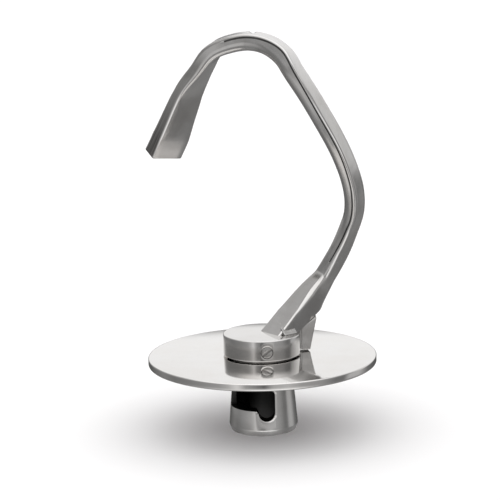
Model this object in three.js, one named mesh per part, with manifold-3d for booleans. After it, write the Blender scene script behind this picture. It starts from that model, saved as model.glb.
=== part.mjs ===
// Dough hook for a planetary stand mixer, standing on the open end of its bayonet drive socket.
// Millimetres, +Z up. The origin is on the hub axis, in the plane of the socket's open end,
// and -Y is the front. The hook's arm leans out of the hub and comes back over its axis.
import * as THREE from 'three';
import { mergeVertices } from 'three/addons/utils/BufferGeometryUtils.js';
import Module from 'manifold-3d';

// ---- driving dimensions ----
const FIT_GAP = 0.3;                  // clearance between a piece and the neighbour it fits
const ROUND_SEGMENTS = 64;
const SMALL_SEGMENTS = 24;

// bayonet drive socket
const SOCKET_HEIGHT = 47;
const SOCKET_RIM_RADIUS = 22.3;
const SOCKET_FLARE_RADIUS = 23.7;
const SOCKET_FLARE_Z = 4;
const SOCKET_TOP_RADIUS = 20;
const BORE_RADIUS = 13;
const BORE_DEPTH = 42;
const BORE_END_CONE = 4;
const BORE_CHAMFER = 1;
const SPIGOT_RADIUS = 15;
const SPIGOT_TOP_Z = 65;
const SPIGOT_CHAMFER = 1;

// bayonet slot: the notch where the shaft's pin locks, the run that it comes round by, and the
// way in from the open end. The way in and the back of the run are a groove inside the wall.
const SLOT_TOP_Z = 31.5;
const SLOT_CORNER_RADIUS = 3.5;
const NOTCH_WIDTH = 11.5;
const NOTCH_OFFSET_X = 2.2;
const NOTCH_BOTTOM_Z = 10.2;
const RUN_BOTTOM_Z = 17.3;
const RUN_START_DEG = 182;
const RUN_END_DEG = 269;
const GROOVE_START_DEG = 135;
const ENTRY_END_DEG = 165;
const INNER_GROOVE_RADIUS = 18.5;
const CUT_PAST = 3;                   // how far a cutter runs past the wall that it cuts

// guard disc, spacer and collar
const DISC_RADIUS = 78.5;
const DISC_THICKNESS = 5.2;
const DISC_EDGE_ROUND = 1.2;
const WASHER_RADIUS = 22;
const WASHER_THICKNESS = 1;
const COLLAR_RADIUS = 26.7;
const COLLAR_HEIGHT = 14.4;
const COLLAR_EDGE_ROUND = 0.9;
const COLLAR_BORE_DEPTH = 12.1;

// set screw
const SCREW_RADIUS = 4;
const SCREW_AZIMUTH_DEG = -83.3;
const SCREW_HEIGHT_IN_COLLAR = 6.3;
const SCREW_SEAT_DEPTH = 2.5;
const SCREW_SLOT_WIDTH = 1.4;
const SCREW_SLOT_DEPTH = 1.8;
const SCREW_SLOT_TILT_DEG = 35;

// hook foot, as it is cut to sit on the collar
const FOOT_AZIMUTH_DEG = 38;
const FOOT_FRONT_TOE = [12.2, -12.2];
const FOOT_LENGTH = 19.2;
const FOOT_WIDTH = 23.2;
const HEEL_SLOPE_DEG = 31.8;

// weld beads along the foot's sides: how far along the foot they start, and how long they are
const FRONT_WELD = { start: 3, length: 11 };
const REAR_WELD = { start: 9, length: 6 };
const WELD_LEG = 2.2;
const WELD_OVERLAP = 3;               // how far a bead's blank reaches under the foot

// gusset rib under the heel
const RIB_AZIMUTH_DEG = 10;
const RIB_COLLAR_GAP = 1.2;
const RIB_FRONT_OFFSET = 0.5;
const RIB_THICKNESS = 8;
const RIB_FOOT_REACH = 34;
const RIB_TOP_REACH = 39.5;
const RIB_TOP_Z = 79;

// tapering groove across the crown's outer face, widest at the back
const CROWN_GROOVE_BACK = [-1.9, 7.8, 273.1];
const CROWN_GROOVE_RADIUS = 2.6;
const CROWN_GROOVE_LENGTH = 16;
const CROWN_GROOVE_SLOPE_DEG = 6;

// heights that follow from the ones above
const DISC_TOP_Z = SOCKET_HEIGHT + DISC_THICKNESS;
const COLLAR_BASE_Z = DISC_TOP_Z + WASHER_THICKNESS;
const COLLAR_TOP_Z = COLLAR_BASE_Z + COLLAR_HEIGHT;
const HOLE_RADIUS = SPIGOT_RADIUS + FIT_GAP;
const SCREW_Z = COLLAR_BASE_Z + SCREW_HEIGHT_IN_COLLAR;

// The arm from foot to blade tip: where the section's centre is, which way its outer face looks,
// its width and depth, and the radii of its outer and inner corners.
const ARM_STATIONS = [
  { at: [3.3, -5.5, 52.7], out: [0.62, -0.78, 0], width: 20.8, depth: 21.5, outer: 2, inner: 2 },
  { at: [22.5, 10.8, 72.7], out: [0.62, -0.78, 0], width: 20.8, depth: 20, outer: 2, inner: 2 },
  { at: [34.9, 18.2, 89.5], out: [0.64, -0.76, 0], width: 15.5, depth: 16.5, outer: 2, inner: 2.5 },
  { at: [44.7, 20.9, 102.3], out: [0.68, -0.72, 0], width: 12.2, depth: 13, outer: 2, inner: 4 },
  { at: [54.6, 19.5, 120.2], out: [0.74, -0.67, 0], width: 14.5, depth: 11.8, outer: 2, inner: 6 },
  { at: [60.9, 16, 136.2], out: [0.78, -0.62, 0], width: 14.5, depth: 11.6, outer: 2, inner: 6 },
  { at: [64.3, 11, 149.2], out: [0.8, -0.6, 0.02], width: 14.8, depth: 11.8, outer: 2.5, inner: 6 },
  { at: [63.6, 5, 164.1], out: [0.82, -0.57, 0.1], width: 15, depth: 12, outer: 2.5, inner: 6 },
  { at: [59.2, -3, 180.5], out: [0.82, -0.54, 0.2], width: 15, depth: 12, outer: 2, inner: 6 },
  { at: [51.1, -11, 199.8], out: [0.82, -0.5, 0.28], width: 15, depth: 12, outer: 1.6, inner: 6 },
  { at: [36.6, -18, 226.6], out: [0.82, -0.48, 0.28], width: 15, depth: 12, outer: 1.5, inner: 6 },
  { at: [24.1, -17.9, 247], out: [0.79, -0.4, 0.46], width: 15, depth: 12.4, outer: 1.5, inner: 6 },
  { at: [17, -13.9, 258], out: [0.64, -0.22, 0.74], width: 15, depth: 13, outer: 1.5, inner: 6 },
  { at: [7.1, -6.5, 264.7], out: [0.24, -0.1, 0.97], width: 15, depth: 12.5, outer: 1.5, inner: 6 },
  { at: [-4.6, 0, 266.9], out: [0, -0.07, 1], width: 15, depth: 12, outer: 1.5, inner: 5 },
  { at: [-17, 6, 265], out: [-0.2, -0.05, 0.95], width: 15.5, depth: 12, outer: 1.8, inner: 5 },
  { at: [-28.7, 13, 259.8], out: [-0.55, 0.1, 0.75], width: 16.6, depth: 11, outer: 2, inner: 4 },
  { at: [-36.7, 20.9, 248], out: [-0.62, 0.4, 0.62], width: 17.7, depth: 9.6, outer: 2, inner: 3 },
  { at: [-47, 31.4, 230.1], out: [-0.53, 0.7, 0.48], width: 21, depth: 8.8, outer: 2, inner: 2 },
  { at: [-60.2, 42, 198.9], out: [-0.51, 0.72, 0.47], width: 26, depth: 11, outer: 2, inner: 2 },
  { at: [-66.3, 47.4, 186], out: [-0.51, 0.72, 0.47], width: 25.5, depth: 12, outer: 2, inner: 2 },
];
const RINGS_PER_STATION = 2;
const CORNER_STEPS = 4;

// ---- solids: join and cut ----
const wasm = await Module();
wasm.setup();

function toSolid(geometry) {
  const bare = geometry.index ? geometry.toNonIndexed() : geometry.clone();
  bare.deleteAttribute('normal');
  bare.deleteAttribute('uv');
  const merged = mergeVertices(bare, 1e-4);
  const vertProperties = new Float32Array(merged.attributes.position.array);
  const triVerts = new Uint32Array(merged.index.array);
  return new wasm.Manifold(new wasm.Mesh({ numProp: 3, vertProperties, triVerts }));
}

function toGeometry(solid) {
  const mesh = solid.getMesh();
  const geometry = new THREE.BufferGeometry();
  geometry.setAttribute('position', new THREE.BufferAttribute(mesh.vertProperties, 3));
  geometry.setIndex(new THREE.BufferAttribute(mesh.triVerts, 1));
  geometry.computeVertexNormals();
  return geometry;
}

function cut(geometry, ...cutters) {
  let solid = toSolid(geometry);
  for (const cutter of cutters) {
    solid = solid.subtract(toSolid(cutter));
  }
  return toGeometry(solid);
}

// ---- shared shapes ----
const rad = THREE.MathUtils.degToRad;

function direction(azimuthDeg) {
  return new THREE.Vector3(Math.cos(rad(azimuthDeg)), Math.sin(rad(azimuthDeg)), 0);
}

// A turned piece: the profile is a closed list of [radius, z] pairs, round the Z axis.
function turned(profile, segments = ROUND_SEGMENTS) {
  const points = [...profile, profile[0]].map(([r, z]) => new THREE.Vector2(r, z));
  return new THREE.LatheGeometry(points, segments).rotateX(Math.PI / 2);
}

function roundedCorner(centreR, centreZ, radius, fromDeg, toDeg, steps = 3) {
  const points = [];
  for (let i = 0; i <= steps; i += 1) {
    const angle = rad(fromDeg + ((toDeg - fromDeg) * i) / steps);
    points.push([centreR + radius * Math.cos(angle), centreZ + radius * Math.sin(angle)]);
  }
  return points;
}

function extruded(shape, depth, curveSegments = 4) {
  return new THREE.ExtrudeGeometry(shape, { depth, bevelEnabled: false, curveSegments });
}

// A cylinder lying along +X, between two distances from the hub axis.
function radialRod(radius, fromX, toX) {
  const length = toX - fromX;
  const rod = new THREE.CylinderGeometry(radius, radius, length, SMALL_SEGMENTS);
  return rod.rotateZ(-Math.PI / 2).translate(fromX + length / 2, 0, 0);
}

function toScrewAxis(geometry) {
  return geometry.rotateZ(rad(SCREW_AZIMUTH_DEG)).translate(0, 0, SCREW_Z);
}

function screwHole(fromRadius, toRadius) {
  return toScrewAxis(radialRod(SCREW_RADIUS + FIT_GAP, fromRadius, toRadius));
}

// ---- drive socket ----
function ringSector(fromDeg, toDeg, fromZ, outerRadius) {
  const shape = new THREE.Shape();
  shape.absarc(0, 0, outerRadius, rad(fromDeg), rad(toDeg), false);
  shape.absarc(0, 0, BORE_RADIUS - CUT_PAST, rad(toDeg), rad(fromDeg), true);
  shape.closePath();
  return extruded(shape, SLOT_TOP_Z - fromZ, 16).translate(0, 0, fromZ);
}

// The notch is a slot with a round bottom, cut straight in from the front.
function notchCutter() {
  const half = NOTCH_WIDTH / 2;
  const corner = SLOT_CORNER_RADIUS;
  const shape = new THREE.Shape();
  shape.absarc(0, NOTCH_BOTTOM_Z + half, half, Math.PI, 2 * Math.PI, false);
  shape.absarc(half - corner, SLOT_TOP_Z - corner, corner, 0, Math.PI / 2, false);
  shape.lineTo(-half, SLOT_TOP_Z);
  shape.closePath();
  const notch = extruded(shape, SOCKET_FLARE_RADIUS, 10);
  return notch.rotateX(Math.PI / 2).translate(NOTCH_OFFSET_X, -BORE_RADIUS / 2, 0);
}

function driveSocket() {
  const profile = [
    [0, SPIGOT_TOP_Z],
    [0, BORE_DEPTH + BORE_END_CONE],
    [BORE_RADIUS, BORE_DEPTH],
    [BORE_RADIUS, BORE_CHAMFER],
    [BORE_RADIUS + BORE_CHAMFER, 0],
    [SOCKET_RIM_RADIUS, 0],
    [SOCKET_FLARE_RADIUS, SOCKET_FLARE_Z],
    [SOCKET_TOP_RADIUS, SOCKET_HEIGHT],
    [SPIGOT_RADIUS, SOCKET_HEIGHT],
    [SPIGOT_RADIUS, SPIGOT_TOP_Z - SPIGOT_CHAMFER],
    [SPIGOT_RADIUS - SPIGOT_CHAMFER, SPIGOT_TOP_Z],
  ];
  const pastWall = SOCKET_FLARE_RADIUS + CUT_PAST;
  const run = ringSector(RUN_START_DEG, RUN_END_DEG, RUN_BOTTOM_Z, pastWall);
  const innerRun = ringSector(GROOVE_START_DEG, RUN_END_DEG, RUN_BOTTOM_Z, INNER_GROOVE_RADIUS);
  const entry = ringSector(GROOVE_START_DEG, ENTRY_END_DEG, -CUT_PAST, INNER_GROOVE_RADIUS);
  const seat = screwHole(SPIGOT_RADIUS - SCREW_SEAT_DEPTH, SPIGOT_RADIUS + CUT_PAST);
  return cut(turned(profile), run, innerRun, entry, notchCutter(), seat);
}

// ---- disc, washer, collar ----
function guardDisc() {
  const edge = DISC_RADIUS - DISC_EDGE_ROUND;
  return turned([
    [HOLE_RADIUS, SOCKET_HEIGHT],
    ...roundedCorner(edge, SOCKET_HEIGHT + DISC_EDGE_ROUND, DISC_EDGE_ROUND, -90, 0),
    ...roundedCorner(edge, DISC_TOP_Z - DISC_EDGE_ROUND, DISC_EDGE_ROUND, 0, 90),
    [HOLE_RADIUS, DISC_TOP_Z],
  ]);
}

function spacerWasher() {
  return turned([
    [HOLE_RADIUS, DISC_TOP_Z],
    [WASHER_RADIUS, DISC_TOP_Z],
    [WASHER_RADIUS, COLLAR_BASE_Z],
    [HOLE_RADIUS, COLLAR_BASE_Z],
  ]);
}

function hubCollar() {
  const edge = COLLAR_RADIUS - COLLAR_EDGE_ROUND;
  const body = turned([
    [0, COLLAR_BASE_Z + COLLAR_BORE_DEPTH],
    [HOLE_RADIUS, COLLAR_BASE_Z + COLLAR_BORE_DEPTH],
    [HOLE_RADIUS, COLLAR_BASE_Z],
    [COLLAR_RADIUS, COLLAR_BASE_Z],
    ...roundedCorner(edge, COLLAR_TOP_Z - COLLAR_EDGE_ROUND, COLLAR_EDGE_ROUND, 0, 90),
    [0, COLLAR_TOP_Z],
  ]);
  return cut(body, screwHole(SPIGOT_RADIUS - CUT_PAST, COLLAR_RADIUS + CUT_PAST));
}

// The screw is modelled lying along +X, then turned to its azimuth. Its point sits in the
// spigot's seat, and its slotted end is just under the collar's surface.
function setScrew() {
  const headX = COLLAR_RADIUS - FIT_GAP;
  const blank = radialRod(SCREW_RADIUS, SPIGOT_RADIUS - SCREW_SEAT_DEPTH + FIT_GAP, headX);
  const slot = new THREE.BoxGeometry(2 * SCREW_SLOT_DEPTH, 3 * SCREW_RADIUS, SCREW_SLOT_WIDTH);
  slot.rotateX(rad(SCREW_SLOT_TILT_DEG)).translate(headX, 0, 0);
  return toScrewAxis(cut(blank, slot));
}

// ---- hook arm ----
function sectionOutline({ width, depth, outer, inner }) {
  const corners = [
    [width / 2 - outer, depth / 2 - outer, outer, 0],
    [-width / 2 + outer, depth / 2 - outer, outer, 90],
    [-width / 2 + inner, -depth / 2 + inner, inner, 180],
    [width / 2 - inner, -depth / 2 + inner, inner, 270],
  ];
  const outline = [];
  for (const [centreB, centreN, radius, startDeg] of corners) {
    for (let i = 0; i <= CORNER_STEPS; i += 1) {
      const angle = rad(startDeg + (90 * i) / CORNER_STEPS);
      outline.push([centreB + radius * Math.cos(angle), centreN + radius * Math.sin(angle)]);
    }
  }
  return outline;
}

// One ring of the loft: the section between two stations, square to the arm's centre line.
function ringAt(t, centreCurve, outCurve) {
  const scaled = t * (ARM_STATIONS.length - 1);
  const index = Math.min(Math.floor(scaled), ARM_STATIONS.length - 2);
  const before = ARM_STATIONS[index];
  const after = ARM_STATIONS[index + 1];
  const between = (key) => THREE.MathUtils.lerp(before[key], after[key], scaled - index);
  const section = {};
  for (const key of ['width', 'depth', 'outer', 'inner']) {
    section[key] = between(key);
  }
  const centre = centreCurve.getPoint(t);
  const tangent = centreCurve.getTangent(t);
  const out = outCurve.getPoint(t);
  out.addScaledVector(tangent, -out.dot(tangent)).normalize();
  const across = new THREE.Vector3().crossVectors(out, tangent);
  return sectionOutline(section).map(([b, n]) => (
    centre.clone().addScaledVector(across, b).addScaledVector(out, n)
  ));
}

function loft(rings) {
  const count = rings[0].length;
  const positions = rings.flat();
  const index = [];
  for (let r = 0; r + 1 < rings.length; r += 1) {
    for (let i = 0; i < count; i += 1) {
      const j = (i + 1) % count;
      const low = r * count;
      const high = low + count;
      index.push(low + i, low + j, high + j, low + i, high + j, high + i);
    }
  }
  const lastRing = (rings.length - 1) * count;
  for (let i = 1; i + 1 < count; i += 1) {
    index.push(0, i + 1, i, lastRing, lastRing + i, lastRing + i + 1);
  }
  const geometry = new THREE.BufferGeometry().setFromPoints(positions);
  geometry.setIndex(index);
  return geometry;
}

function armBlank() {
  const centres = ARM_STATIONS.map(({ at }) => new THREE.Vector3(...at));
  const outs = ARM_STATIONS.map(({ out }) => new THREE.Vector3(...out));
  const centreCurve = new THREE.CatmullRomCurve3(centres, false, 'centripetal');
  const outCurve = new THREE.CatmullRomCurve3(outs, false, 'catmullrom');
  const steps = (ARM_STATIONS.length - 1) * RINGS_PER_STATION;
  const rings = [];
  for (let i = 0; i <= steps; i += 1) {
    rings.push(ringAt(i / steps, centreCurve, outCurve));
  }
  return loft(rings);
}

// Moves a shape made along the foot, +X outward from the toe line, to its place on the collar.
function onCollar(geometry) {
  geometry.rotateZ(rad(FOOT_AZIMUTH_DEG));
  return geometry.translate(...FOOT_FRONT_TOE, COLLAR_TOP_Z);
}

// A block whose top face is the heel's underside, rising outward through the heel line, less a gap.
function belowHeel(gap) {
  const reach = COLLAR_TOP_Z;
  const block = new THREE.BoxGeometry(2 * reach, 2 * reach, reach);
  block.translate(0, 0, -reach / 2 - gap);
  block.rotateY(-rad(HEEL_SLOPE_DEG)).translate(FOOT_LENGTH, 0, 0);
  return onCollar(block);
}

function belowCollarTop() {
  const size = 2 * COLLAR_TOP_Z;
  return new THREE.BoxGeometry(size, size, size).translate(0, 0, COLLAR_TOP_Z - size / 2);
}

// A cone lying across the crown with its axis near the surface, so that half of it cuts.
function crownGroove() {
  const length = CROWN_GROOVE_LENGTH;
  const cone = new THREE.ConeGeometry(CROWN_GROOVE_RADIUS, length, SMALL_SEGMENTS);
  cone.rotateX(Math.PI).translate(0, -length / 2, 0);
  return cone.rotateX(rad(CROWN_GROOVE_SLOPE_DEG)).translate(...CROWN_GROOVE_BACK);
}

function hookArm() {
  return cut(armBlank(), belowCollarTop(), belowHeel(0), crownGroove());
}

// ---- weld beads along the two sides of the foot ----
// A bead lies in the corner between the foot's side and the collar. It is cut by the arm,
// moved sideways by the gap that keeps the two pieces apart.
function armWeld(arm, side, { start, length }) {
  const leg = WELD_LEG + WELD_OVERLAP;
  const shape = new THREE.Shape();
  shape.moveTo(0, 0);
  shape.lineTo(side * leg, 0);
  shape.quadraticCurveTo((side * leg) / 2, leg / 2, 0, leg);
  shape.closePath();
  const bead = extruded(shape, length).rotateX(Math.PI / 2).rotateZ(Math.PI / 2);
  const offset = side > 0 ? FOOT_WIDTH - WELD_OVERLAP : WELD_OVERLAP;
  onCollar(bead.translate(start, offset, 0));
  const across = direction(FOOT_AZIMUTH_DEG + 90).multiplyScalar(side * FIT_GAP);
  return cut(bead, arm, arm.clone().translate(across.x, across.y, 0));
}

// ---- gusset rib ----
function gussetRib() {
  const shape = new THREE.Shape();
  shape.moveTo(SPIGOT_RADIUS, COLLAR_BASE_Z);
  shape.lineTo(RIB_FOOT_REACH, COLLAR_BASE_Z);
  shape.lineTo(RIB_TOP_REACH, RIB_TOP_Z);
  shape.lineTo(SPIGOT_RADIUS, RIB_TOP_Z);
  shape.closePath();
  const plate = extruded(shape, RIB_THICKNESS).rotateX(Math.PI / 2);
  plate.translate(0, RIB_FRONT_OFFSET + RIB_THICKNESS, 0);
  plate.rotateZ(rad(RIB_AZIMUTH_DEG));
  const roomRadius = COLLAR_RADIUS + RIB_COLLAR_GAP;
  const collarRoom = new THREE.CylinderGeometry(roomRadius, roomRadius, 2 * RIB_TOP_Z, ROUND_SEGMENTS);
  collarRoom.rotateX(Math.PI / 2);
  const underHeel = toSolid(plate).intersect(toSolid(belowHeel(FIT_GAP)));
  return toGeometry(underHeel.subtract(toSolid(collarRoom)));
}

// ---- the assembled hook ----
const castStainless = { color: 0x8f8b86, roughness: 0.38, metalness: 1 };
const polishedStainless = { color: 0xc9c8c6, roughness: 0.18, metalness: 1 };
const turnedStainless = { color: 0x9c9a97, roughness: 0.3, metalness: 1 };
const plainSteel = { color: 0x8a8a8c, roughness: 0.35, metalness: 1 };

function piece(name, geometry, finish) {
  const mesh = new THREE.Mesh(geometry, new THREE.MeshStandardMaterial(finish));
  mesh.name = name;
  return mesh;
}

const arm = hookArm();
const doughHook = new THREE.Group();
doughHook.add(
  piece('drive_socket', driveSocket(), turnedStainless),
  piece('guard_disc', guardDisc(), polishedStainless),
  piece('spacer_washer', spacerWasher(), turnedStainless),
  piece('hub_collar', hubCollar(), polishedStainless),
  piece('set_screw', setScrew(), plainSteel),
  piece('hook_arm', arm, castStainless),
  piece('arm_weld_front', armWeld(arm, -1, FRONT_WELD), castStainless),
  piece('arm_weld_rear', armWeld(arm, 1, REAR_WELD), castStainless),
  piece('gusset_rib', gussetRib(), castStainless),
);

export default doughHook;
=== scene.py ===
"""Dough hook of a planetary mixer, standing on the open end of its drive socket.

Metres, in the frame's own axes: the origin is on the hub axis at the socket's open end,
+Z is up and -Y is the front. Every visible piece replaces its plain CAD node.
"""
import math

import bmesh
import bpy
from mathutils import Euler, Matrix, Vector, noise


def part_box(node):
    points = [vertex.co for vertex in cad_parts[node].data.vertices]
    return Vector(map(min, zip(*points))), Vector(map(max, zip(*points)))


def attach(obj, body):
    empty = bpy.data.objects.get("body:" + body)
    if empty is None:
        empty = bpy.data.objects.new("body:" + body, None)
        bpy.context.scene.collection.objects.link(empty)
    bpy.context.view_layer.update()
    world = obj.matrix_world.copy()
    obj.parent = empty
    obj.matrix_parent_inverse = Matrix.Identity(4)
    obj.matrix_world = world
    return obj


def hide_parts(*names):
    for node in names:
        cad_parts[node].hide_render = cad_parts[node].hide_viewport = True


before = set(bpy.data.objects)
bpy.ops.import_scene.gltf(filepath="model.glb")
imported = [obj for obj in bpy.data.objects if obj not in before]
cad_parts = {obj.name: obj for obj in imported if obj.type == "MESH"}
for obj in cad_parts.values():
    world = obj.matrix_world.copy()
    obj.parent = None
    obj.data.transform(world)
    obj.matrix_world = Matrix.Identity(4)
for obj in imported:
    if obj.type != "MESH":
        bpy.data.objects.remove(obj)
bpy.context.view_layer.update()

MM = 0.001
UP = Vector((0, 0, 1))
scene = bpy.context.scene


# ---- sizes taken from the frame ----
_, socket_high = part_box("drive_socket")
disc_low, disc_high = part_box("guard_disc")
collar_low, collar_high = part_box("hub_collar")
washer_low, washer_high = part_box("spacer_washer")
rib_low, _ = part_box("gusset_rib")

SOCKET_FLARE = socket_high.x
SPIGOT_TOP = socket_high.z
DISC_RADIUS = disc_high.x
DISC_BASE = disc_low.z
DISC_TOP = disc_high.z
WASHER_RADIUS = washer_high.x
COLLAR_RADIUS = collar_high.x
COLLAR_BASE = collar_low.z
COLLAR_TOP = collar_high.z

# ---- sizes that the boxes don't give, the same as the design's ----
# The socket's outer radii are at its open end, at its widest place and under the disc.
SOCKET_RIM = 22.3 * MM
SOCKET_FLARE_Z = 4 * MM
SOCKET_NECK = 20 * MM
BORE = 13 * MM
BORE_DEPTH = 42 * MM
BORE_END_CONE = 0.3 * BORE
SPIGOT = 15 * MM
# the holes in the disc, the washer and the collar that the spigot goes through
HOLE = 15.3 * MM
COLLAR_HOLLOW = 12.1 * MM

# The bayonet slot, with its azimuths in degrees from +X. The way in from the open end, and the
# groove that leads round from it, are inside the wall. The run is cut right through the wall and
# ends at the notch. RIM_START and RIM_END limit the softened part of the run's outer edge, which
# stops short of the notch's chamfer.
SLOT_TOP = 31.5 * MM
SLOT_CORNER = 3.5 * MM
INNER_GROOVE = 18.5 * MM
GROOVE_START, ENTRY_END = 135, 165
RUN_START, RUN_END = 182, 269
RIM_START, RIM_END = 178, 252
RUN_BOTTOM = 17.3 * MM
NOTCH_X = 2.2 * MM
NOTCH_HALF = 5.75 * MM
NOTCH_BOTTOM = 10.2 * MM

# finishing that only the fine mesh has: the notch's shoulder and its chamfer
NOTCH_SHOULDER = 2.8 * MM
CHAMFER_WIDTH = 1.5 * MM
CHAMFER_DEPTH = 0.45 * MM
SIDE_CHAMFER_DEPTH = 0.6 * MM

# how far a cutter reaches past the surface that it comes out of
CUT_PAST = 3 * MM
CHAMFER_PAST = 0.3 * MM
# the bevel on the edges of the screw's hole and of the run
EDGE_BREAK = 0.35 * MM

# The grub screw reaches a little way into the spigot and ends just inside the collar's surface.
SCREW_AZIMUTH = math.radians(-83.3)
SCREW_Z = 59.5 * MM
SCREW_RADIUS = 3.95 * MM
SCREW_POINT = 0.8 * MM
SCREW_REACH = 2.2 * MM
SCREW_RECESS = 0.3 * MM
SCREW_HOLE = 4.25 * MM
SEAT_RADIUS = 4.3 * MM
SEAT_DEPTH = 2.5 * MM
SCREW_SLOT_HALF = 0.75 * MM
SCREW_SLOT_DEPTH = 1.8 * MM
SCREW_SLOT_TILT = math.radians(35)

# where the arm stands on the collar: its toe, the way its foot runs, and the heel's slope
FOOT_AZIMUTH = math.radians(38)
FOOT_TOE = Vector((12.2, -12.2, 0)) * MM
FOOT_LENGTH = 19.2 * MM
HEEL_SLOPE = math.radians(31.8)

# The tapering groove across the crown: the middle of its wide end, and its run to the front.
CROWN_GROOVE_BACK = Vector((-1.9, 7.8, 273.1)) * MM
CROWN_GROOVE_RADIUS = 2.6 * MM
CROWN_GROOVE_LENGTH = 16 * MM
CROWN_GROOVE_SLOPE = math.radians(6)

# The arm from foot to blade tip, in millimetres: section centre, outward direction, width,
# depth, and the corner radii: front outer, back outer, back inner, front inner.
ARM = [
    ((3.3, -5.5, 52.7), (0.62, -0.78, 0), 20.8, 21.5, (1.2, 2, 2, 2)),
    ((22.5, 10.8, 72.7), (0.62, -0.78, 0), 20.8, 20, (1.4, 2, 2, 2.2)),
    ((34.9, 18.2, 89.5), (0.64, -0.76, 0), 15.5, 16.5, (3.6, 2.2, 3, 3)),
    ((44.7, 20.9, 102.3), (0.68, -0.72, 0), 12.2, 13, (3.2, 3, 4.5, 4.5)),
    ((54.6, 19.5, 120.2), (0.74, -0.67, 0), 14.5, 11.8, (2, 3.6, 6.2, 6.2)),
    ((60.9, 16, 136.2), (0.78, -0.62, 0), 14.5, 11.6, (2, 3.2, 6.6, 6.6)),
    ((64.3, 11, 149.2), (0.8, -0.6, 0.02), 14.8, 11.8, (2.2, 3, 6.8, 6.8)),
    ((63.6, 5, 164.1), (0.82, -0.57, 0.1), 15, 12, (2.2, 2.8, 7, 7)),
    ((59.2, -3, 180.5), (0.82, -0.54, 0.2), 15, 12, (1.8, 3.2, 7, 7)),
    ((51.1, -11, 199.8), (0.82, -0.5, 0.28), 15, 12, (1.4, 3.2, 7, 7)),
    ((36.6, -18, 226.6), (0.82, -0.48, 0.28), 15, 12, (1.3, 3.2, 7, 7)),
    ((24.1, -17.9, 247), (0.79, -0.4, 0.46), 15, 12.4, (1.3, 3, 7, 7)),
    ((17, -13.9, 258), (0.64, -0.22, 0.74), 15, 13, (1.4, 1.6, 7, 7)),
    ((7.1, -6.5, 264.7), (0.24, -0.1, 0.97), 15, 12.5, (1.5, 1.6, 7, 7)),
    ((-4.6, 0, 266.9), (0, -0.07, 1), 15, 12, (1.5, 1.8, 6.8, 6.8)),
    ((-17, 6, 265), (-0.2, -0.05, 0.95), 15.5, 12, (1.8, 2, 6.2, 6.2)),
    ((-28.7, 13, 259.8), (-0.55, 0.1, 0.75), 16.6, 11, (2, 2.2, 4, 5)),
    ((-36.7, 20.9, 248), (-0.62, 0.4, 0.62), 17.7, 9.6, (2, 2, 2.4, 3.6)),
    ((-47, 31.4, 230.1), (-0.53, 0.7, 0.48), 21, 8.8, (2, 2, 1.8, 2)),
    ((-60.2, 42, 198.9), (-0.51, 0.72, 0.47), 26, 11, (1.8, 2, 1.6, 1.4)),
    ((-66.3, 47.4, 186), (-0.51, 0.72, 0.47), 25.5, 12, (1.8, 2, 1.6, 1.3)),
]
RINGS_PER_STATION = 18
CORNER_STEPS = 7
SIDE_STEPS = 6
TANGENT_STEP = 0.02

# The parting line left by the casting: a fine groove in the front face beside its outer
# corner, as (distance from the corner's round, depth) pairs in millimetres. It runs between two
# places along the stations, and deepens from nothing over PARTING_FADE of a station at each end.
# Where it is deeper than the share of its full depth set last below, its faces are painted dark, as
# painted shade in the groove.
PARTING_LINE = ((1.3, 0), (1.1, 0.4), (0.3, 0.4), (0.1, 0))
PARTING_FROM, PARTING_TO = 3.3, 15.2
PARTING_FADE = 0.8
PARTING_SHADE_DEPTH = 0.3

# The arm's surface is uneven from hand grinding: (waves per metre, millimetres) pairs of noise,
# and how far it is set in so that few humps stand out past the design's surface.
UNEVENNESS = ((70, 0.10), (220, 0.02))
UNEVEN_INSET = 0.08

# The blade's sharp edges this near to the middle of its tip are rounded.
BLADE_TIP_REACH = 18 * MM

# the rib and the weld beads: the cells of their remeshed surface, and the beads' ripple
WORN_VOXEL = 0.25 * MM
RIPPLE_WAVES = 300
RIPPLE = 0.10 * MM


# ---- mesh helpers ----
def link(name, data):
    """A new object in the scene that holds a mesh or a camera."""
    obj = bpy.data.objects.new(name, data)
    scene.collection.objects.link(obj)
    return obj


def from_bmesh(name, bm, sharp_degrees=32):
    """Turns a bmesh into an object, smooth except along edges sharper than the angle."""
    bmesh.ops.recalc_face_normals(bm, faces=bm.faces)
    limit = math.radians(sharp_degrees)
    for face in bm.faces:
        face.smooth = True
    for edge in bm.edges:
        if len(edge.link_faces) == 2:
            edge.smooth = edge.calc_face_angle(0) < limit
    mesh = bpy.data.meshes.new(name)
    bm.to_mesh(mesh)
    bm.free()
    return link(name, mesh)


def lathe(name, profile, segments=256):
    """A closed ring of (radius, z) points turned round Z. Points on the axis share a vertex."""
    bm = bmesh.new()
    rings = []
    for radius, z in profile:
        if radius == 0:
            rings.append([bm.verts.new((0, 0, z))] * segments)
            continue
        ring = []
        for i in range(segments):
            angle = 2 * math.pi * i / segments
            ring.append(bm.verts.new((radius * math.cos(angle), radius * math.sin(angle), z)))
        rings.append(ring)
    for k, ring in enumerate(rings):
        following = rings[(k + 1) % len(rings)]
        for i in range(segments):
            j = (i + 1) % segments
            corners = []
            for vert in (ring[i], ring[j], following[j], following[i]):
                if vert not in corners:
                    corners.append(vert)
            if len(corners) > 2:
                bm.faces.new(corners)
    return from_bmesh(name, bm)


def rounded(points, steps=5):
    """The profile of (radius, z, corner) points, with each corner cut back and curved."""
    out = []
    count = len(points)
    for i, (r, z, corner) in enumerate(points):
        here = Vector((r, z))
        if corner == 0:
            out.append((r, z))
            continue
        before = Vector(points[i - 1][:2]) - here
        after = Vector(points[(i + 1) % count][:2]) - here
        start = here + before.normalized() * corner
        end = here + after.normalized() * corner
        for k in range(steps + 1):
            t = k / steps
            point = start * (1 - t) ** 2 + here * 2 * t * (1 - t) + end * t ** 2
            out.append((point.x, point.y))
    return out


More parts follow.
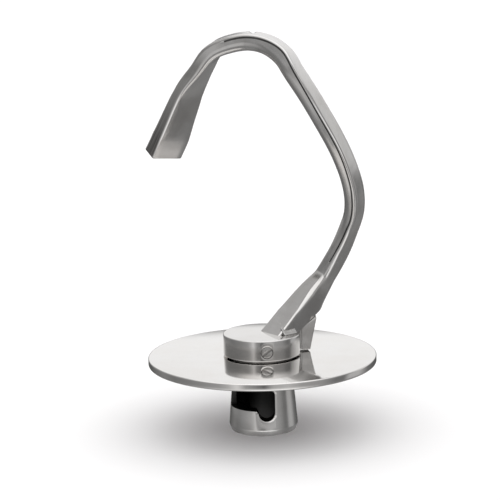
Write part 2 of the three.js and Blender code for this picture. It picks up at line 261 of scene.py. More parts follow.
def prism(name, outline, depth):
    """An outline of (x, y) points extruded from z = 0 to depth."""
    bm = bmesh.new()
    low = [bm.verts.new((x, y, 0)) for x, y in outline]
    high = [bm.verts.new((x, y, depth)) for x, y in outline]
    bm.faces.new(low[::-1])
    bm.faces.new(high)
    count = len(outline)
    for i in range(count):
        j = (i + 1) % count
        bm.faces.new((low[i], low[j], high[j], high[i]))
    return from_bmesh(name, bm)


def arc(cx, cy, radius, start, end, steps):
    """Points on an arc round (cx, cy), between two angles in radians."""
    points = []
    for i in range(steps + 1):
        angle = start + (end - start) * i / steps
        points.append((cx + radius * math.cos(angle), cy + radius * math.sin(angle)))
    return points


def apply_modifiers(obj):
    """Replaces the object's mesh by its evaluated one."""
    graph = bpy.context.evaluated_depsgraph_get()
    mesh = bpy.data.meshes.new_from_object(obj.evaluated_get(graph))
    obj.modifiers.clear()
    obj.data = mesh


def carve(obj, *cutters):
    """Cuts each cutter out of obj, and removes the cutters."""
    for cutter in cutters:
        boolean = obj.modifiers.new("cut", "BOOLEAN")
        boolean.operation = "DIFFERENCE"
        boolean.solver = "EXACT"
        boolean.object = cutter
        apply_modifiers(obj)
        bpy.data.objects.remove(cutter)


def soften(obj, width, chosen, segments=2, sharp_degrees=35):
    """Bevels the edges over 30 degrees that chosen(edge) picks, and returns a new object."""
    bm = bmesh.new()
    bm.from_mesh(obj.data)
    bmesh.ops.remove_doubles(bm, verts=bm.verts, dist=0.001 * MM)
    limit = math.radians(30)
    edges = []
    for edge in bm.edges:
        if len(edge.link_faces) == 2 and edge.calc_face_angle(0) > limit and chosen(edge):
            edges.append(edge)
    bmesh.ops.bevel(bm, geom=edges, offset=width, segments=segments, affect="EDGES", profile=0.6,
                    clamp_overlap=True)
    name = obj.name
    bpy.data.objects.remove(obj)
    return from_bmesh(name, bm, sharp_degrees)


def middle(edge):
    """The midpoint of an edge."""
    return (edge.verts[0].co + edge.verts[1].co) / 2


# ---- materials ----
class Nodes:
    """Short calls for building one node tree."""

    def __init__(self, tree):
        self.tree = tree

    def add(self, kind, **settings):
        node = self.tree.nodes.new(kind)
        for key, value in settings.items():
            if key in node.inputs:
                node.inputs[key].default_value = value
            else:
                setattr(node, key, value)
        return node

    def join(self, source, target):
        self.tree.links.new(source, target)

    def feed(self, socket, value):
        """Links another node's output to a socket, or sets the socket to a number or a colour."""
        if isinstance(value, bpy.types.NodeSocket):
            self.join(value, socket)
        elif isinstance(value, tuple):
            socket.default_value = (*value, 1)
        else:
            socket.default_value = value

    def math(self, operation, *values):
        node = self.add("ShaderNodeMath", operation=operation)
        for socket, value in zip(node.inputs, values):
            self.feed(socket, value)
        return node.outputs["Value"]

    def mix(self, factor, a, b, blend_type="MIX"):
        node = self.add("ShaderNodeMix", data_type="RGBA", blend_type=blend_type)
        for key, value in (("Factor", factor), ("A", a), ("B", b)):
            self.feed(node.inputs[key], value)
        return node.outputs["Result"]

    def ramp(self, value, *stops):
        node = self.add("ShaderNodeValToRGB")
        elements = node.color_ramp.elements
        while len(elements) < len(stops):
            elements.new(0.5)
        for element, (position, colour) in zip(elements, stops):
            element.position = position
            element.color = (*colour, 1)
        self.join(value, node.inputs["Fac"])
        return node.outputs["Color"]

    def span(self, value, low, high, to_low=0.0, to_high=1.0, interpolation="LINEAR"):
        node = self.add("ShaderNodeMapRange", interpolation_type=interpolation)
        self.join(value, node.inputs["Value"])
        limits = {"From Min": low, "From Max": high, "To Min": to_low, "To Max": to_high}
        for key, number in limits.items():
            node.inputs[key].default_value = number
        return node.outputs["Result"]


class MaterialNodes(Nodes):
    """The node tree of a new material, round its Principled shader."""

    def __init__(self, name):
        self.material = bpy.data.materials.new(name)
        self.material.use_nodes = True
        super().__init__(self.material.node_tree)
        self.shader = self.tree.nodes["Principled BSDF"]

    def coordinates(self, scale, source="Object"):
        texture = self.add("ShaderNodeTexCoord")
        mapping = self.add("ShaderNodeMapping", Scale=scale)
        self.join(texture.outputs[source], mapping.inputs["Vector"])
        return mapping.outputs["Vector"]

    def noise(self, vector, scale, detail, roughness):
        node = self.add("ShaderNodeTexNoise", Scale=scale, Detail=detail, Roughness=roughness)
        self.join(vector, node.inputs["Vector"])
        return node.outputs["Fac"]

    def bump(self, height, strength, distance, normal=None, invert=False):
        node = self.add("ShaderNodeBump", Strength=strength, Distance=distance, invert=invert)
        self.join(height, node.inputs["Height"])
        if normal is not None:
            self.join(normal, node.inputs["Normal"])
        return node.outputs["Normal"]

    def paint_shade(self, mask, colour, start=0.0, end=1.0):
        """Paints shade: darkens the base colour made so far, fully where the mask reaches end."""
        socket = self.shader.inputs["Base Color"]
        before = socket.links[0].from_socket
        tint = self.ramp(mask, (start, grey(1.0)), (end, colour))
        self.join(self.mix(1, before, tint, "MULTIPLY"), socket)


def grey(value, warmth=0.0):
    """A grey, turned towards red and away from blue by warmth."""
    return (value * (1 + warmth), value, value * (1 - warmth))


def steel(name, tone, roughness, spread, grain_scale, grain_depth, mottle, source="Object",
          waviness=0.0006):
    """Worked stainless steel: mottled tone, long grain lines and small scratches.

    The roughness varies by spread to either side, and the tone by mottle. grain_scale stretches
    the grain: large across the lines, small along them. waviness is how deep, in metres, the
    broad unevenness left by hand polishing is.
    """
    n = MaterialNodes(name)
    whole = n.coordinates((1, 1, 1))
    grain_space = n.coordinates(grain_scale, source)
    patches = n.noise(whole, scale=45, detail=5, roughness=0.6)
    fine = n.noise(whole, scale=900, detail=3, roughness=0.6)
    grain = n.noise(grain_space, scale=1, detail=5, roughness=0.7)
    dull, bright = grey(tone * (1 - mottle), 0.03), grey(tone * (1 + mottle), 0.012)
    patch_tone = n.ramp(patches, (0.3, dull), (0.7, bright))
    grain_tone = n.ramp(grain, (0.25, grey(1 - mottle * 0.8)), (0.75, grey(1.0)))
    n.join(n.mix(1, patch_tone, grain_tone, "MULTIPLY"), n.shader.inputs["Base Color"])
    patch_roughness = n.span(patches, 0.3, 0.7, roughness - spread, roughness + spread)
    grain_roughness = n.span(grain, 0.3, 0.7, -spread * 0.5, spread * 0.5)
    n.join(n.math("ADD", patch_roughness, grain_roughness), n.shader.inputs["Roughness"])
    n.shader.inputs["Metallic"].default_value = 1
    broad_normal = n.bump(patches, 0.25, waviness)
    grain_normal = n.bump(grain, grain_depth, 0.2 * MM, broad_normal)
    n.join(n.bump(fine, grain_depth * 0.5, 0.1 * MM, grain_normal), n.shader.inputs["Normal"])
    return n


def add_pits(n, scale, share, strength):
    """Small casting pits, scattered thinly over the surface, dented in the bump and darkened with
    painted shade.
    """
    whole = n.coordinates((1, 1, 1))
    cells = n.add("ShaderNodeTexVoronoi", Scale=scale, Randomness=1.0)
    n.join(whole, cells.inputs["Vector"])
    near = n.span(cells.outputs["Distance"], 0.0, 0.22, 1.0, 0.0)
    clusters = n.noise(whole, scale=60, detail=2, roughness=0.5)
    picked = n.math("LESS_THAN", clusters, share)
    pit = n.math("MULTIPLY", near, picked)
    n.paint_shade(pit, grey(0.35, 0.05), 0.1, 0.8)
    socket = n.shader.inputs["Normal"]
    before = socket.links[0].from_socket
    n.join(n.bump(pit, strength, 0.4 * MM, before, invert=True), socket)


def shade_blade_edge(n):
    """Painted shade down the narrow front face of the blade, broken into streaks, placed by the
    arm's own UV.
    """
    texture = n.add("ShaderNodeTexCoord")
    split = n.add("ShaderNodeSeparateXYZ")
    n.join(texture.outputs["UV"], split.inputs["Vector"])
    # X is the share of the way round the section, and Y the share of the way along the arm
    on_front = n.span(split.outputs["X"], 0.80, 0.83)
    near_tip = n.span(split.outputs["Y"], 0.885, 0.95)
    streaks = n.noise(n.coordinates((120, 9, 1), "UV"), scale=1, detail=4, roughness=0.6)
    place = n.math("MULTIPLY", on_front, near_tip)
    paint_shade = n.math("MULTIPLY", place, n.span(streaks, 0.3, 0.62, 0.45, 1.0))
    n.paint_shade(paint_shade, grey(0.24, 0.02))


def cast_material():
    """The arm's metal, with its grain along the arm."""
    n = steel("cast_stainless", tone=0.60, roughness=0.17, spread=0.04, grain_scale=(14, 90, 1),
              grain_depth=0.05, mottle=0.07, source="UV", waviness=0.0003)
    add_pits(n, scale=420, share=0.34, strength=0.6)
    shade_blade_edge(n)
    return n.material


def polished_material():
    """The guard disc's bright finish."""
    return steel("polished_stainless", tone=0.70, roughness=0.07, spread=0.02,
                 grain_scale=(900, 30, 900), grain_depth=0.03, mottle=0.03,
                 waviness=0.00008).material


def turned_material():
    """The socket's and the washer's metal, with lathe marks round them."""
    return steel("turned_stainless", tone=0.62, roughness=0.17, spread=0.04,
                 grain_scale=(25, 25, 2600), grain_depth=0.08, mottle=0.06,
                 waviness=0.0002).material


def collar_material():
    """Turned like the socket, and polished brighter."""
    return steel("collar_stainless", tone=0.64, roughness=0.10, spread=0.03,
                 grain_scale=(25, 25, 1800), grain_depth=0.05, mottle=0.05,
                 waviness=0.00015).material


def screw_material():
    """The grub screw's duller machined steel."""
    return steel("screw_steel", tone=0.50, roughness=0.26, spread=0.06,
                 grain_scale=(1500, 1500, 300), grain_depth=0.15, mottle=0.10).material


def weld_material():
    """The beads' rougher, pitted metal."""
    n = steel("weld_bead", tone=0.42, roughness=0.26, spread=0.05, grain_scale=(300, 300, 300),
              grain_depth=0.12, mottle=0.14)
    add_pits(n, scale=600, share=0.3, strength=0.6)
    return n.material


def recess_shade_material():
    """Painted shade: a near-black colour for the shade in the socket's inside, the crown's groove
    and the rib's underside.
    """
    return steel("recess_shade_stainless", tone=0.045, roughness=0.45, spread=0.06,
                 grain_scale=(25, 25, 1400), grain_depth=0.1, mottle=0.3).material


def parting_shade_material():
    """Painted shade: a dark colour for the shade in the arm's parting line."""
    return steel("parting_shade_stainless", tone=0.11, roughness=0.4, spread=0.06,
                 grain_scale=(14, 90, 1), grain_depth=0.1, mottle=0.3, source="UV").material


def rib_material():
    """The rib's dull cast finish."""
    return steel("rib_stainless", tone=0.52, roughness=0.2, spread=0.05,
                 grain_scale=(60, 60, 240), grain_depth=0.08, mottle=0.12,
                 waviness=0.0003).material


MATERIALS = {
    "cast_stainless": cast_material(),
    "polished_stainless": polished_material(),
    "turned_stainless": turned_material(),
    "collar_stainless": collar_material(),
    "screw_steel": screw_material(),
    "weld_bead": weld_material(),
    "recess_shade_stainless": recess_shade_material(),
    "parting_shade_stainless": parting_shade_material(),
    "rib_stainless": rib_material(),
}


def paint_recess_shade(obj, inside):
    """Paints shade on the faces that inside(centre, normal) picks, by giving them the near-black
    painted-shade material.
    """
    obj.data.materials.append(MATERIALS["recess_shade_stainless"])
    for polygon in obj.data.polygons:
        if inside(polygon.center, polygon.normal):
            polygon.material_index = len(obj.data.materials) - 1


def finish_piece(obj, node, material, body="hook"):
    """Puts a piece in its CAD node's place. A piece that brings its own materials keeps them."""
    if not obj.data.materials:
        obj.data.materials.append(MATERIALS[material])
    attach(obj, body)
    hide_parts(node)


# ---- the arm ----
def catmull_rom(points, position):
    """A point on the smooth line through the points, where position 2.5 is halfway from 2 to 3."""
    last = len(points) - 1
    i = min(int(position), last - 1)
    t = position - i
    before = points[max(i - 1, 0)]
    start, end = points[i], points[i + 1]
    after = points[min(i + 2, last)]
    if i == 0:
        before = start * 2 - end
    if i + 1 == last:
        after = end * 2 - start
    in_slope = (end - before) / 2
    out_slope = (after - start) / 2
    t2, t3 = t * t, t * t * t
    return (start * (2 * t3 - 3 * t2 + 1) + in_slope * (t3 - 2 * t2 + t)
            + end * (-2 * t3 + 3 * t2) + out_slope * (t3 - t2))


def parting_depth(position):
    """How much of its full depth the parting line has at a place along the arm, 0 to 1."""
    edge = min(position - PARTING_FROM, PARTING_TO - position)
    return max(0.0, min(1.0, edge / PARTING_FADE))


def section(width, depth, radii, parting):
    """Outline of the arm's section as (across, outward) points, from the front outer corner on.

    parting is how much of its full depth the parting line has, 0 to 1.
    """
    outline = []
    sides = ((1, 1), (-1, 1), (-1, -1), (1, -1))
    for quarter, ((across, outward), radius) in enumerate(zip(sides, radii)):
        x = across * (width / 2 - radius)
        y = outward * (depth / 2 - radius)
        start = quarter * math.pi / 2
        turn = arc(x, y, radius, start, start + math.pi / 2, CORNER_STEPS)
        if outline:
            outline += straight(outline[-1], turn[0])
        outline += turn
    start_x, start_y = outline[0]
    groove = [(start_x - dip * parting * MM, start_y - gap * MM) for gap, dip in PARTING_LINE]
    return outline + straight(outline[-1], groove[0]) + groove


def straight(start, end):
    """The points between two corners of the section."""
    points = []
    for i in range(1, SIDE_STEPS):
        t = i / SIDE_STEPS
        points.append((start[0] + (end[0] - start[0]) * t, start[1] + (end[1] - start[1]) * t))
    return points


def uneven(point):
    """How far the arm's surface stands out at a point, in metres. It is below zero on average."""
    bumps = sum(noise.noise(point * waves) * depth for waves, depth in UNEVENNESS)
    return (bumps - UNEVEN_INSET) * MM


def arm_rings():
    """The arm's sections, in place, from the foot to the blade's tip."""
    centres = [Vector(s[0]) * MM for s in ARM]
    outs = [Vector(s[1]) for s in ARM]
    steps = (len(ARM) - 1) * RINGS_PER_STATION
    rings = []
    for k in range(steps + 1):
        position = k / RINGS_PER_STATION
        centre = catmull_rom(centres, position)
        ahead = catmull_rom(centres, min(position + TANGENT_STEP, len(ARM) - 1))
        behind = catmull_rom(centres, max(position - TANGENT_STEP, 0))
        tangent = (ahead - behind).normalized()
        out = catmull_rom(outs, position)
        out = (out - tangent * out.dot(tangent)).normalized()
        across = out.cross(tangent)
        i = min(int(position), len(ARM) - 2)
        t = position - i
        width, depth = [(ARM[i][c] * (1 - t) + ARM[i + 1][c] * t) * MM for c in (2, 3)]
        radii = [(a * (1 - t) + b * t) * MM for a, b in zip(ARM[i][4], ARM[i + 1][4])]
        ring = []
        for sideways, outward in section(width, depth, radii, parting_depth(position)):
            offset = across * sideways + out * outward
            point = centre + offset
            ring.append(point + offset.normalized() * uneven(point))
        rings.append(ring)
    return rings


def trim(bm, point, normal):
    """Cuts away what lies behind a plane and closes the cut."""
    geometry = bm.verts[:] + bm.edges[:] + bm.faces[:]
    result = bmesh.ops.bisect_plane(bm, geom=geometry, plane_co=point, plane_no=normal,
                                    clear_inner=True)
    rim = [item for item in result["geom_cut"] if isinstance(item, bmesh.types.BMEdge)]
    bmesh.ops.holes_fill(bm, edges=rim, sides=0)


def build_arm():
    """The bent arm: its rings skinned, then cut off flat on the collar and sloping at the heel."""
    rings = arm_rings()
    bm = bmesh.new()
    uv = bm.loops.layers.uv.new("arm")
    count = len(rings[0])
    grid = [[bm.verts.new(p) for p in ring] for ring in rings]
    for k in range(len(grid) - 1):
        for i in range(count):
            j = (i + 1) % count
            face = bm.faces.new((grid[k][i], grid[k][j], grid[k + 1][j], grid[k + 1][i]))
            for loop, (u, v) in zip(face.loops, ((i, k), (i + 1, k), (i + 1, k + 1), (i, k + 1))):
                loop[uv].uv = (u / count, v / len(grid))
            # faces deep in the parting line's groove take the second material, which is painted
            # shade
            in_groove = count - len(PARTING_LINE) <= i < count - 1
            painted_shade = in_groove and parting_depth(k / RINGS_PER_STATION) > PARTING_SHADE_DEPTH
            face.material_index = int(painted_shade)
    bm.faces.new(grid[0][::-1])
    bm.faces.new(grid[-1])
    trim(bm, UP * COLLAR_TOP, UP)
    along = Vector((math.cos(FOOT_AZIMUTH), math.sin(FOOT_AZIMUTH), 0))
    heel = FOOT_TOE + along * FOOT_LENGTH + UP * COLLAR_TOP
    trim(bm, heel, UP * math.cos(HEEL_SLOPE) - along * math.sin(HEEL_SLOPE))
    arm = from_bmesh("arm_surface", bm, 40)
    tip = Vector(ARM[-1][0]) * MM

    def at_tip(edge):
        near = (middle(edge) - tip).length < BLADE_TIP_REACH
        return near and edge.calc_face_angle(0) > math.radians(60)

    arm = soften(arm, 0.9 * MM, at_tip, 3, 40)
    arm.data.materials.append(MATERIALS["cast_stainless"])
    arm.data.materials.append(MATERIALS["parting_shade_stainless"])
    return arm


def mark_crown(arm):
    """The tapering groove across the crown's outer face, widest at the back."""
    length = CROWN_GROOVE_LENGTH
    mark = lathe("mark", [(0, 0), (CROWN_GROOVE_RADIUS, length), (0, length)], 48)
    point_forward = Matrix.Rotation(CROWN_GROOVE_SLOPE - math.pi / 2, 4, "X")
    mark.data.transform(Matrix.Translation(CROWN_GROOVE_BACK) @ point_forward
                        @ Matrix.Translation((0, 0, -length)))
    carve(arm, mark)


def in_crown_groove(centre, _normal):
    """Whether a face is part of the groove's own cone."""
    along = Vector((0, -math.cos(CROWN_GROOVE_SLOPE), -math.sin(CROWN_GROOVE_SLOPE)))
    offset = centre - CROWN_GROOVE_BACK
    reach = offset.dot(along)
    radius = CROWN_GROOVE_RADIUS * (1 - reach / CROWN_GROOVE_LENGTH)
    distance = (offset - along * reach).length
    return 0 <= reach <= CROWN_GROOVE_LENGTH and distance < radius + 0.02 * MM


# ---- hub ----
def build_disc():
    """The guard disc, with a softened rim."""
    profile = rounded([
        (HOLE, DISC_BASE, 0),
        (DISC_RADIUS, DISC_BASE, 1.2 * MM),
        (DISC_RADIUS, DISC_TOP, 1.0 * MM),
        (HOLE, DISC_TOP, 0),
    ])
    return lathe("disc_surface", profile, 384)


def lay_on_screw_axis(obj, start):
    """Lays a piece made along Z on the set screw's axis, so that it starts at a radius."""
    lay_down = Matrix.Rotation(math.pi / 2, 4, "Y")
    turn = Matrix.Rotation(SCREW_AZIMUTH, 4, "Z")
    lift = Matrix.Translation((0, 0, SCREW_Z))
    obj.data.transform(lift @ turn @ lay_down @ Matrix.Translation((0, 0, start)))


def radial_cylinder(name, radius, start, end):
    """A cutter along the set screw's axis, between two distances from the hub's axis."""
    rod = lathe(name, [(0, 0), (radius, 0), (radius, end - start), (0, end - start)], 64)
    lay_on_screw_axis(rod, start)
    return rod


def build_collar():
    """The round collar: hollow underneath for the spigot, and drilled for the screw."""
    roof = COLLAR_BASE + COLLAR_HOLLOW
    profile = rounded([
        (0, roof, 0),
        (HOLE, roof, 0),
        (HOLE, COLLAR_BASE, 0),
        (COLLAR_RADIUS, COLLAR_BASE, 0.7 * MM),
        (COLLAR_RADIUS, COLLAR_TOP, 0.9 * MM),
        (0, COLLAR_TOP, 0),
    ])
    collar = lathe("collar_surface", profile, 256)
    carve(collar, radial_cylinder("hole", SCREW_HOLE, HOLE - CUT_PAST, COLLAR_RADIUS + CUT_PAST))

    def at_hole(edge):
        point = middle(edge)
        outside = math.hypot(point.x, point.y) > COLLAR_RADIUS - 0.3 * MM
        return outside and abs(point.z - SCREW_Z) < SCREW_HOLE + EDGE_BREAK and point.y < 0

    return soften(collar, EDGE_BREAK, at_hole)


def build_washer():
    """The thin washer between the disc and the collar."""
    profile = rounded([
        (HOLE, washer_low.z, 0),
        (WASHER_RADIUS, washer_low.z, 0.3 * MM),
        (WASHER_RADIUS, washer_high.z, 0.3 * MM),
        (HOLE, washer_high.z, 0),
    ], 3)
    return lathe("washer_surface", profile, 128)


def build_screw():
    """The slotted grub screw, made upright and then laid in its hole."""
    start = SPIGOT - SCREW_REACH
    length = COLLAR_RADIUS - SCREW_RECESS - start
    profile = rounded([
        (0, 0, 0),
        (SCREW_RADIUS - SCREW_POINT, 0, 0),
        (SCREW_RADIUS, SCREW_POINT, 0),
        (SCREW_RADIUS, length, 0.45 * MM),
        (0, length, 0),
    ], 3)
    screw = lathe("screw_surface", profile, 96)
    x, y = SCREW_SLOT_HALF, SCREW_RADIUS + CUT_PAST
    slot = prism("slot", [(-x, -y), (x, -y), (x, y), (-x, y)], SCREW_SLOT_DEPTH + CUT_PAST)
    slot_floor = Matrix.Translation((0, 0, length - SCREW_SLOT_DEPTH))
    slot.data.transform(slot_floor @ Matrix.Rotation(SCREW_SLOT_TILT, 4, "Z"))
    carve(screw, slot)

    def slot_rim(edge):
        return abs(middle(edge).z - length) < 0.05 * MM

    screw = soften(screw, 0.2 * MM, slot_rim)
    lay_on_screw_axis(screw, start)
    return screw


# ---- drive socket ----
def ring_sector(name, start, end, low, radius):
    """A cutter from low to the slot's top, out to a radius, between two azimuths in degrees."""
    outline = arc(0, 0, radius, math.radians(start), math.radians(end), 48)
    outline += arc(0, 0, BORE - CUT_PAST, math.radians(end), math.radians(start), 48)
    sector = prism(name, outline, SLOT_TOP - low)
    sector.data.transform(Matrix.Translation((0, 0, low)))
    return sector


def wall_radius(z):
    """The socket's outer radius at a height above its flare."""
    share = (z - SOCKET_FLARE_Z) / (DISC_BASE - SOCKET_FLARE_Z)
    return SOCKET_FLARE + (SOCKET_NECK - SOCKET_FLARE) * share


def notch_outline():
    """(x, z) points round the notch, with the rounded shoulder that leads down into it."""
    bottom_z = NOTCH_BOTTOM + NOTCH_HALF
    shoulder_z = RUN_BOTTOM - NOTCH_SHOULDER
    drop = bottom_z - shoulder_z
    reach = NOTCH_HALF + NOTCH_SHOULDER
    shoulder_x = -math.sqrt(reach ** 2 - drop ** 2)
    lean = math.asin(drop / reach)
    outline = [(shoulder_x, SLOT_TOP)]
    outline += arc(shoulder_x, shoulder_z, NOTCH_SHOULDER, math.pi / 2, lean, 12)
    outline += arc(0, bottom_z, NOTCH_HALF, math.pi + lean, 2 * math.pi, 36)
    corner_x, corner_z = NOTCH_HALF - SLOT_CORNER, SLOT_TOP - SLOT_CORNER
    outline += [(NOTCH_HALF, bottom_z + (corner_z - bottom_z) * k / 8) for k in range(1, 8)]
    outline += arc(corner_x, corner_z, SLOT_CORNER, 0, math.pi / 2, 12)
    return [(x + NOTCH_X, z) for x, z in outline]


def notch_cutter():
    """The notch cut in from the front, flared near the wall's surface to leave a shallow chamfer."""
    outline = notch_outline()
    count = len(outline)
    bm = bmesh.new()
    rings = [[], [], [], []]
    for i, (x, z) in enumerate(outline):
        before, after = outline[i - 1], outline[(i + 1) % count]
        run, rise = after[0] - before[0], after[1] - before[1]
        length = math.hypot(run, rise)
        away_x, away_z = rise / length, -run / length
        # the top edge, shared with the run, isn't chamfered
        flare = CHAMFER_WIDTH if z < SLOT_TOP - MM and i > 2 else 0
        depth = CHAMFER_DEPTH + SIDE_CHAMFER_DEPTH * max(0, away_x) ** 2
        skin_x, skin_z = x + away_x * flare, z + away_z * flare
        skin_y = -math.sqrt(wall_radius(skin_z) ** 2 - skin_x ** 2)
        inner_y = -math.sqrt(wall_radius(z) ** 2 - x ** 2) + (depth if flare else 0)
        spread = flare * (1 + CHAMFER_PAST / depth)
        far_x, far_z = x + away_x * spread, z + away_z * spread
        places = (
            (x, -BORE / 2, z),
            (x, inner_y, z),
            (far_x, skin_y - CHAMFER_PAST, far_z),
            (far_x, -SOCKET_FLARE - CUT_PAST, far_z),
        )
        for ring, place in zip(rings, places):
            ring.append(bm.verts.new(place))
    bm.faces.new(rings[0][::-1])
    bm.faces.new(rings[3])
    for near, far in zip(rings, rings[1:]):
        for i in range(count):
            j = (i + 1) % count
            bm.faces.new((near[i], near[j], far[j], far[i]))
    return from_bmesh("notch", bm)


def build_socket():
    """The tapered socket and its spigot, with the bore, the bayonet slot and the screw's seat."""
    profile = rounded([
        (0, SPIGOT_TOP, 0),
        (0, BORE_DEPTH + BORE_END_CONE, 0),
        (BORE, BORE_DEPTH, 0),
        (BORE, 1 * MM, 0),
        (BORE + 1 * MM, 0, 0),
        (SOCKET_RIM, 0, 0.5 * MM),
        (SOCKET_FLARE, SOCKET_FLARE_Z, 0.5 * MM),
        (SOCKET_NECK, DISC_BASE, 0),
        (SPIGOT, DISC_BASE, 0),
        (SPIGOT, SPIGOT_TOP - 1 * MM, 0),
        (SPIGOT - 1 * MM, SPIGOT_TOP, 0),
    ], 4)
    socket = lathe("socket_surface", profile, 192)
    carve(
        socket,
        ring_sector("run", RUN_START, RUN_END, RUN_BOTTOM, SOCKET_FLARE + CUT_PAST),
        ring_sector("inner_run", GROOVE_START, RUN_END, RUN_BOTTOM, INNER_GROOVE),
        ring_sector("entry", GROOVE_START, ENTRY_END, -CUT_PAST, INNER_GROOVE),
        notch_cutter(),
        radial_cylinder("seat", SEAT_RADIUS, SPIGOT - SEAT_DEPTH, SPIGOT + CUT_PAST),
    )

    def run_rim(edge):
        """The run's edges in the outer surface, up to where the notch's chamfer begins."""
        point = middle(edge)
        on_skin = abs(math.hypot(point.x, point.y) - wall_radius(point.z)) < 0.15 * MM
        azimuth = math.degrees(math.atan2(point.y, point.x)) % 360
        in_run = 5 * MM < point.z < SLOT_TOP + MM and RIM_START < azimuth < RIM_END
        return on_skin and in_run

    return soften(socket, EDGE_BREAK, run_rim)


def in_bore_or_slot(centre, normal):
    """Whether a face of the socket is inside the bore or the slot, and not on the outer skin."""
    radius = math.hypot(centre.x, centre.y)
    if centre.z > BORE_DEPTH + 5 * MM:
        return False
    if radius < BORE + 0.5 * MM and centre.z > 0.8 * MM:
        return True
    outward = (normal.x * centre.x + normal.y * centre.y) / radius
    on_skin = outward > 0.5 and radius > wall_radius(centre.z) - 1.2 * MM
    return 5 * MM < centre.z < SLOT_TOP + 0.1 * MM and not on_skin


# ---- rib and weld beads ----
def worn_solid(node, name, smoothing):
    """A fine copy of a CAD solid with its edges worn round, more with more smoothing."""
    bm = bmesh.new()
    bm.from_mesh(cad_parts[node].data)
    solid = from_bmesh(name, bm)
    remesh = solid.modifiers.new("remesh", "REMESH")
    remesh.mode = "VOXEL"
    remesh.voxel_size = WORN_VOXEL
    smooth = solid.modifiers.new("smooth", "SMOOTH")
    smooth.iterations = smoothing
    apply_modifiers(solid)
    for polygon in solid.data.polygons:
        polygon.use_smooth = True
    return solid


def build_rib():
    """The plate under the heel."""
    return worn_solid("gusset_rib", "rib_surface", 4)


def under_rib(centre, normal):
    """Whether a face is on the rib's underside, where it meets the collar."""
    return normal.z < -0.6 and centre.z < rib_low.z + 0.4 * MM


def build_bead(node, name):
    """A weld bead with a gentle ripple along it."""
    bead = worn_solid(node, name, 14)
    for vertex in bead.data.vertices:
        ripple = noise.noise(vertex.co * RIPPLE_WAVES) * RIPPLE
        vertex.co += vertex.normal * ripple
    return bead


# ---- stage, light and camera ----
def build_floor():
    """A plain pale floor that the metal doesn't reflect."""
    bm = bmesh.new()
    bmesh.ops.create_grid(bm, x_segments=2, y_segments=2, size=6)
    floor = from_bmesh("floor", bm)
    n = MaterialNodes("pale_floor")
    n.shader.inputs["Base Color"].default_value = (0.9, 0.9, 0.9, 1)
    n.shader.inputs["Roughness"].default_value = 0.9
    floor.data.materials.append(n.material)
    floor.visible_glossy = False


# The studio that the metal reflects, in bands from below the object to above it. Each band is the
# light all round, as (degrees from the front towards +X, level) pairs.
LOWER_LIGHT = [
    (-180, 0.25), (-130, 0.2), (-100, 0.25), (-66, 0.45), (-50, 0.65), (-24, 0.9), (-9, 1.3),
    (31, 1.3), (50, 0.7), (62, 0.4), (90, 0.25), (110, 0.25), (130, 0.3), (180, 0.25),
]
MIDDLE_LIGHT = [
    (-180, 0.12), (-150, 0.12), (-135, 0.2), (-116, 0.27), (-100, 0.22), (-75, 0.27), (-54, 0.35),
    (-44, 0.4), (-35, 0.55), (-26, 0.85), (-17, 0.4), (-7, 0.28), (1, 0.15), (10, 0.5), (25, 0.6),
    (38, 0.42), (60, 0.36), (77, 0.2), (88, 0.2), (96, 0.55), (112, 0.55), (130, 0.2), (150, 0.12),
    (180, 0.12),
]
LEVEL_LIGHT = [
    (-180, 0.2), (-160, 0.3), (-145, 0.42), (-130, 0.38), (-92, 0.3), (-64, 0.4), (-40, 0.55),
    (-30, 0.8), (-22, 0.75), (-15, 0.42), (-3, 0.5), (4, 0.55), (34, 0.6), (57, 0.5), (74, 0.42),
    (88, 0.3), (95, 0.26), (103, 0.6), (116, 0.9), (130, 0.6), (145, 0.2), (160, 0.2), (180, 0.2),
]
RISING_LIGHT = [
    (-180, 1.08), (-160, 1.05), (-148, 0.6), (-135, 0.3), (-116, 0.25), (-75, 0.26), (-54, 0.32),
    (-44, 0.36), (-35, 0.5), (-26, 0.8), (-17, 0.38), (-7, 0.26), (1, 0.15), (10, 0.45), (25, 0.55),
    (38, 0.4), (60, 0.34), (77, 0.22), (88, 0.2), (100, 0.5), (125, 0.9), (150, 1.05), (180, 1.08),
]
UPPER_LIGHT = [
    (-180, 1.08), (-160, 1.05), (-148, 0.6), (-120, 0.55), (-90, 0.6), (-45, 1.2), (0, 1.5),
    (45, 1.2), (90, 0.7), (120, 0.9), (150, 1.05), (180, 1.08),
]


# Each band takes over from the one below while the height of the light's direction, from -1
# straight down to 1 straight up, rises through two limits. A colour is the same all round.
REFLECTED_BELOW = (0.32, 0.32, 0.32)
REFLECTED_BANDS = (
    (-0.80, -0.72, LOWER_LIGHT),
    (-0.45, -0.27, MIDDLE_LIGHT),
    (-0.14, -0.05, LEVEL_LIGHT),
    (0.12, 0.17, RISING_LIGHT),
    (0.31, 0.40, UPPER_LIGHT),
    (0.70, 0.88, (1.5, 1.5, 1.51)),
)

# The light that falls on the floor, which draws the shadow round the socket.
FLOOR_BELOW = (0.02, 0.02, 0.02)
FLOOR_BANDS = (
    (-0.05, 0.05, (0.56, 0.50, 0.51)),
    (0.36, 0.50, (1.75, 1.75, 1.75)),
    (0.70, 0.82, (1.05, 1.05, 1.05)),
)
BACKDROP_LEVEL = 1.1


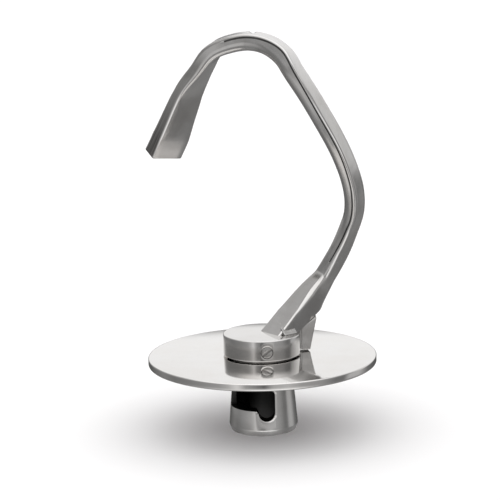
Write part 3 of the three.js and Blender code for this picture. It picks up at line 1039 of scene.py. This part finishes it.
def build_world():
    """A pale studio with three faces, for the camera, for the metal and for the floor.

    The camera sees a plain white backdrop. The metal reflects broad bright and dark areas. What
    the floor scatters on is lit from above.
    """
    world = bpy.data.worlds.new("studio")
    scene.world = world
    world.use_nodes = True
    world.cycles.sampling_method = "NONE"
    n = Nodes(world.node_tree)
    texture = n.add("ShaderNodeTexCoord")
    split = n.add("ShaderNodeSeparateXYZ")
    n.join(texture.outputs["Generated"], split.inputs["Vector"])
    height = split.outputs["Z"]
    azimuth = n.math("ARCTAN2", split.outputs["X"], n.math("MULTIPLY", split.outputs["Y"], -1.0))
    turn = n.math("MULTIPLY_ADD", azimuth, 0.5 / math.pi, 0.5)

    def around(levels):
        """The light all round, from (degrees, level) pairs."""
        stops = [(degrees / 360 + 0.5, grey(level)) for degrees, level in levels]
        return n.ramp(turn, *stops)

    def stacked(light, bands):
        """The light at every height, where each band takes over from what is below it."""
        for low, high, band in bands:
            share = n.span(height, low, high, interpolation="SMOOTHSTEP")
            light = n.mix(share, light, around(band) if isinstance(band, list) else band)
        return light

    reflected = stacked(REFLECTED_BELOW, REFLECTED_BANDS)
    on_floor = stacked(FLOOR_BELOW, FLOOR_BANDS)
    path = n.add("ShaderNodeLightPath")
    after_floor = n.math("GREATER_THAN", path.outputs["Diffuse Depth"], 0.5)
    studio = n.tree.nodes["Background"]
    n.join(n.mix(after_floor, reflected, on_floor), studio.inputs["Color"])
    backdrop = n.add("ShaderNodeBackground", Color=(1, 1, 1, 1), Strength=BACKDROP_LEVEL)
    chooser = n.add("ShaderNodeMixShader")
    n.join(path.outputs["Is Camera Ray"], chooser.inputs["Fac"])
    n.join(studio.outputs["Background"], chooser.inputs[1])
    n.join(backdrop.outputs["Background"], chooser.inputs[2])
    n.join(chooser.outputs["Shader"], n.tree.nodes["World Output"].inputs["Surface"])


def build_camera():
    """A long lens above the crown, tilted down and rolled a touch, as in a catalogue view."""
    data = bpy.data.cameras.new("camera")
    data.lens = 131.9
    data.sensor_width = 36
    data.clip_start = 0.05
    data.clip_end = 50
    camera = link("camera", data)
    place = Matrix.Translation((-0.00694, -1.22436, 0.36713))
    tilt = Euler((math.radians(90 - 11.17), 0, 0)).to_matrix().to_4x4()
    roll = Matrix.Rotation(math.radians(-1.23), 4, "Z")
    camera.matrix_world = place @ tilt @ roll
    scene.camera = camera


# ---- the whole scene ----
build_camera()
build_world()
build_floor()
arm = build_arm()
mark_crown(arm)
finish_piece(arm, "hook_arm", "cast_stainless")
# painted shade in the crown's groove
paint_recess_shade(arm, in_crown_groove)
finish_piece(build_disc(), "guard_disc", "polished_stainless")
finish_piece(build_collar(), "hub_collar", "collar_stainless")
finish_piece(build_washer(), "spacer_washer", "turned_stainless")
socket = build_socket()
finish_piece(socket, "drive_socket", "turned_stainless")
# painted shade inside the bore and the slot
paint_recess_shade(socket, in_bore_or_slot)
finish_piece(build_screw(), "set_screw", "screw_steel", "screw")
rib = build_rib()
finish_piece(rib, "gusset_rib", "rib_stainless")
# painted shade on the rib's underside
paint_recess_shade(rib, under_rib)
finish_piece(build_bead("arm_weld_front", "bead_front"), "arm_weld_front", "weld_bead")
finish_piece(build_bead("arm_weld_rear", "bead_rear"), "arm_weld_rear", "weld_bead")

scene.view_settings.view_transform = "Standard"
